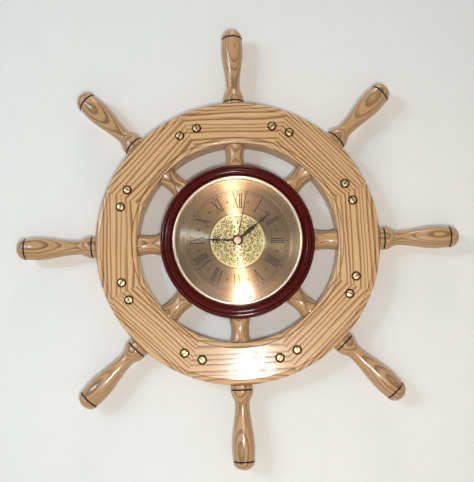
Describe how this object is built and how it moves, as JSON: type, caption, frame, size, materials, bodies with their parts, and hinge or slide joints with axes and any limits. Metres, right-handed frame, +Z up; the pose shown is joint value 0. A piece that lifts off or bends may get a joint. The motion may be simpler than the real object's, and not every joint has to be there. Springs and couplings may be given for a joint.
{
  "type": "ship wheel clock",
  "caption": "Wall clock shaped as a ship's wheel: turned spindles through a mitred wooden rim carry a hub with a quartz insert clock behind domed glass.",
  "frame": {"origin": "centre of the hub's flat back face, which lies against the wall", "axes": "+Y into the wall, so the dial faces -Y; +Z up, to the twelve on the dial; +X to the right, to the three"},
  "size_m": [0.4576, 0.0461, 0.4576],
  "materials": {
    "rim_wood": "varnished ash, straight grain along each segment",
    "spindle_wood": "turned ash under gloss varnish",
    "screw_brass": "polished slotted brass",
    "hub_wood": "dark red mahogany lacquer, gloss",
    "plated_steel": "zinc plated steel",
    "bezel_brass": "polished brass",
    "glass": "clear domed glass",
    "dial_brass": "spun satin brass with printed numerals",
    "cup_tinplate": "drawn tinplate",
    "gasket_rubber": "grey rubber",
    "case_plastic": "moulded black plastic",
    "battery_jacket": "plain printed steel can",
    "hand_black": "black lacquered brass",
    "hand_copper": "copper red lacquer",
    "coil_copper": "enamelled copper wire on a bobbin",
    "rotor_magnet": "sintered magnet on a steel arbor",
    "wheel_plastic": "moulded acetal",
    "gear_brass": "cut brass"
  },
  "bodies": {
    "wheel": {"front_segment_1": "rim_wood", "front_segment_2": "rim_wood", "front_segment_3": "rim_wood", "front_segment_4": "rim_wood", "front_segment_5": "rim_wood", "front_segment_6": "rim_wood", "front_segment_7": "rim_wood", "front_segment_8": "rim_wood", "backing_ring": "rim_wood", "spindle_1": "spindle_wood", "spindle_2": "spindle_wood", "spindle_3": "spindle_wood", "spindle_4": "spindle_wood", "spindle_5": "spindle_wood", "spindle_6": "spindle_wood", "spindle_7": "spindle_wood", "spindle_8": "spindle_wood", "rim_screw_1": "screw_brass", "rim_screw_2": "screw_brass", "rim_screw_3": "screw_brass", "rim_screw_4": "screw_brass", "rim_screw_5": "screw_brass", "rim_screw_6": "screw_brass", "rim_screw_7": "screw_brass", "rim_screw_8": "screw_brass", "rim_screw_9": "screw_brass", "rim_screw_10": "screw_brass", "rim_screw_11": "screw_brass", "rim_screw_12": "screw_brass", "rim_screw_13": "screw_brass", "rim_screw_14": "screw_brass", "rim_screw_15": "screw_brass", "rim_screw_16": "screw_brass", "hub_body": "hub_wood", "hanger_plate": "plated_steel", "bezel": "bezel_brass", "lens": "glass", "dial": "dial_brass", "insert_cup": "cup_tinplate", "gasket": "gasket_rubber", "movement_front_case": "case_plastic", "movement_rear_cover": "case_plastic", "battery": "battery_jacket", "battery_contact_plus": "plated_steel", "battery_contact_minus": "plated_steel", "fixing_nut": "bezel_brass", "coil_and_board": "coil_copper", "stator": "plated_steel"},
    "seconds": {"seconds_wheel": "wheel_plastic", "second_hand": "hand_copper"},
    "rotor": {"rotor": "rotor_magnet"},
    "reduction": {"reduction_wheel": "wheel_plastic"},
    "third": {"third_wheel": "wheel_plastic"},
    "centre": {"centre_wheel": "gear_brass"},
    "minutes": {"minute_pipe": "gear_brass", "minute_hand": "hand_black"},
    "motion": {"motion_wheel": "wheel_plastic"},
    "hours": {"hour_wheel": "wheel_plastic", "hour_hand": "hand_black"},
    "knob": {"set_knob": "wheel_plastic"}
  },
  "joints": [
    {"name": "seconds_turn", "type": "hinge", "parent": "wheel", "child": "seconds", "pos_m": [0, -0.025, 0], "axis": [0, 1, 0], "continuous": true},
    {"name": "rotor_turn", "type": "hinge", "parent": "wheel", "child": "rotor", "pos_m": [0.00058, -0.025, 0.01553], "axis": [0, 1, 0], "continuous": true},
    {"name": "reduction_turn", "type": "hinge", "parent": "wheel", "child": "reduction", "pos_m": [-0.00585, -0.025, 0.01013], "axis": [0, 1, 0], "continuous": true},
    {"name": "third_turn", "type": "hinge", "parent": "wheel", "child": "third", "pos_m": [0.01148, -0.025, 0], "axis": [0, 1, 0], "continuous": true},
    {"name": "centre_turn", "type": "hinge", "parent": "wheel", "child": "centre", "pos_m": [0, -0.025, 0], "axis": [0, 1, 0], "continuous": true},
    {"name": "minute_turn", "type": "hinge", "parent": "wheel", "child": "minutes", "pos_m": [0, -0.025, 0], "axis": [0, 1, 0], "continuous": true},
    {"name": "motion_turn", "type": "hinge", "parent": "wheel", "child": "motion", "pos_m": [-0.008, -0.025, 0], "axis": [0, 1, 0], "continuous": true},
    {"name": "hour_turn", "type": "hinge", "parent": "wheel", "child": "hours", "pos_m": [0, -0.025, 0], "axis": [0, 1, 0], "continuous": true},
    {"name": "knob_turn", "type": "hinge", "parent": "wheel", "child": "knob", "pos_m": [-0.016, -0.025, 0], "axis": [0, 1, 0], "continuous": true}
  ],
  "couplings": [
    {"joint": "rotor_turn", "follows": "seconds_turn", "ratio": 30},
    {"joint": "reduction_turn", "follows": "seconds_turn", "ratio": -5},
    {"joint": "third_turn", "follows": "seconds_turn", "ratio": -0.13333},
    {"joint": "centre_turn", "follows": "seconds_turn", "ratio": 0.016667},
    {"joint": "motion_turn", "follows": "minute_turn", "ratio": -0.33333},
    {"joint": "hour_turn", "follows": "minute_turn", "ratio": 0.083333},
    {"joint": "knob_turn", "follows": "minute_turn", "ratio": 1}
  ]
}
